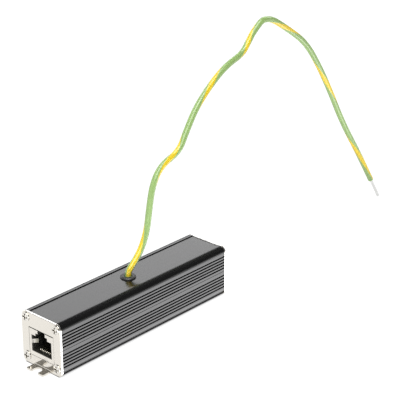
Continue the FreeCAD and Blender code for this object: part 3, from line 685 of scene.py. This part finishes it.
def make_bare_end():
    """Twisted strands round a core, drawn together at the tip."""
    mesh = bmesh.new()
    for number in range(STRANDS):
        wind_strand(mesh, math.tau * number / STRANDS)
    core = bmesh.ops.create_cone(
        mesh,
        cap_ends=True,
        segments=CORE_SIDES,
        radius1=CORE_RADIUS,
        radius2=CORE_TIP_RADIUS,
        depth=END_LENGTH,
    )["verts"]
    bmesh.ops.translate(mesh, verts=core, vec=(0, 0, END_LENGTH / 2))
    bmesh.ops.recalc_face_normals(mesh, faces=mesh.faces)
    aim = route_point(-1) - route_point(-2)
    turned = Z_AXIS.rotation_difference(aim).to_matrix().to_4x4()
    bmesh.ops.transform(mesh, matrix=Matrix.Translation(route_point(-1)) @ turned, verts=mesh.verts)
    return stand_in(new_piece("earth_wire_bare_end", mesh), "earth_wire_end")


def merged_copy(node):
    """A bmesh of a CAD node, its triangles merged into plain faces."""
    mesh = bmesh.new()
    mesh.from_mesh(nodes[node].data)
    bmesh.ops.remove_doubles(mesh, verts=mesh.verts, dist=MERGED_DISTANCE)
    bmesh.ops.dissolve_limit(
        mesh,
        angle_limit=FLAT_ANGLE,
        use_dissolve_boundaries=False,
        verts=mesh.verts,
        edges=mesh.edges,
        delimit=set(),
    )
    return mesh


def sharp_edges(mesh):
    joining = [edge for edge in mesh.edges if len(edge.link_faces) == 2]
    return [edge for edge in joining if edge.calc_face_angle() > EASED_ANGLE]


def is_groove_lip(edge):
    """Whether an edge runs along a groove's lip on either ribbed side."""
    middle = (edge.verts[0].co + edge.verts[1].co) / 2
    on_side = abs(abs(middle.x) - HOUSING_HIGH.x) < ON_SIDE
    return on_side and GROOVES_NEAREST < abs(middle.z - GROOVES_MIDDLE) < GROOVES_REACH


def make_eased_piece(name, node, mesh, width):
    """That copy of a CAD node, with its sharp edges rounded, replaces the node."""
    ease(mesh, sharp_edges(mesh), width, EASED_STEPS)
    piece = stand_in(new_piece(name, mesh), node)
    evened = piece.modifiers.new("evened_normals", "WEIGHTED_NORMAL")
    evened.mode = "FACE_AREA"
    evened.keep_sharp = True


def make_housing():
    """The extrusion, rounded more along the lips of its grooves."""
    mesh = merged_copy("housing_extrusion")
    lips = [edge for edge in sharp_edges(mesh) if is_groove_lip(edge)]
    ease(mesh, lips, GROOVE_LIP, GROOVE_LIP_STEPS)
    make_eased_piece("housing_profile", "housing_extrusion", mesh, HOUSING_EASE)


def make_grommet():
    """Soft-edged rubber bush, spun from its section round the wire."""
    centre = (GROMMET_LOW + GROMMET_HIGH) / 2
    low = GROMMET_LOW.z
    top = GROMMET_HIGH.z
    seat = top - BUSH_HEIGHT
    section = (
        (BUSH_BORE, low),
        (BUSH_FOOT_RADIUS, low),
        (BUSH_FOOT_RADIUS, low + BUSH_FOOT),
        (BUSH_NECK_RADIUS, low + BUSH_FOOT),
        (BUSH_NECK_RADIUS, seat),
        (BUSH_RADIUS, seat),
        (BUSH_RADIUS, seat + BUSH_RIM),
        (BUSH_TOP_RADIUS, top),
        (BUSH_BORE + BUSH_MOUTH, top),
        (BUSH_BORE, top - BUSH_MOUTH),
    )
    mesh = bmesh.new()
    verts = [mesh.verts.new((radius, 0, z)) for radius, z in section]
    for number, vertex in enumerate(verts):
        mesh.edges.new((vertex, verts[(number + 1) % len(verts)]))
    foot_corner = verts[1]
    rim_corners = verts[6:9]
    ease(mesh, [foot_corner, *rim_corners], BUSH_EASE, BUSH_EASE_STEPS, "VERTICES")
    bmesh.ops.spin(
        mesh,
        geom=mesh.verts[:] + mesh.edges[:],
        axis=Z_AXIS,
        cent=(0, 0, 0),
        angle=math.tau,
        steps=BUSH_SIDES,
        use_merge=True,
    )
    bmesh.ops.remove_doubles(mesh, verts=mesh.verts, dist=MERGED_DISTANCE)
    bmesh.ops.recalc_face_normals(mesh, faces=mesh.faces)
    bmesh.ops.translate(mesh, verts=mesh.verts, vec=(centre.x, centre.y, 0))
    stand_in(new_piece("grommet_bush", mesh), "grommet")


def make_floor():
    mesh = bmesh.new()
    bmesh.ops.create_grid(mesh, x_segments=1, y_segments=1, size=FLOOR_REACH)
    floor = new_piece("studio_floor", mesh)
    floor.data.materials.append(paper_finish().material)


def make_studio():
    """The light that comes from all round: the room, its panels and its walls."""
    world = bpy.data.worlds.new("studio")
    bpy.context.scene.world = world
    world.use_nodes = True
    studio = Graph(world.node_tree)
    rise = studio.along("Z", "Generated")
    light = ROOM_LIGHT
    for aim, reach, level in LIGHT_PANELS:
        edge = math.cos(math.radians(reach))
        light = light + studio.towards(aim).above(edge, PANEL_SOFTNESS) * level
    for aim, low, high, level in LIGHT_WALLS:
        facing = studio.towards(aim).above(WALL_FACING, WALL_FACING_SOFTNESS)
        band = rise.above(low, WALL_SOFTNESS) * rise.below(high, WALL_SOFTNESS)
        light = light + facing * band * level
    background = world.node_tree.nodes["Background"]
    studio.feed(background.inputs["Color"], ROOM_COLOUR)
    studio.feed(background.inputs["Strength"], light)


def make_camera():
    camera = bpy.data.objects.new("camera", bpy.data.cameras.new("camera"))
    camera.data.lens = CAMERA_LENS
    camera.data.sensor_width = CAMERA_SENSOR
    camera.data.clip_start = CAMERA_NEAR
    camera.data.clip_end = CAMERA_FAR
    level = math.cos(CAMERA_ELEVATION)
    back = Vector((
        math.sin(CAMERA_AZIMUTH) * level,
        -math.cos(CAMERA_AZIMUTH) * level,
        math.sin(CAMERA_ELEVATION),
    ))
    camera.rotation_euler = back.to_track_quat("Z", "Y").to_euler()
    camera.location = CAMERA_PLACE
    bpy.context.scene.collection.objects.link(camera)
    bpy.context.scene.camera = camera
    bpy.context.scene.view_settings.view_transform = "Standard"


make_camera()
finishes = make_finishes()
finish_nodes()
wire = make_earth_wire()
bare_end = make_bare_end()
make_housing()
for name, node, width in EASED_PIECES:
    make_eased_piece(name, node, merged_copy(node), width)
make_grommet()
make_floor()
make_studio()

bpy.context.view_layer.update()
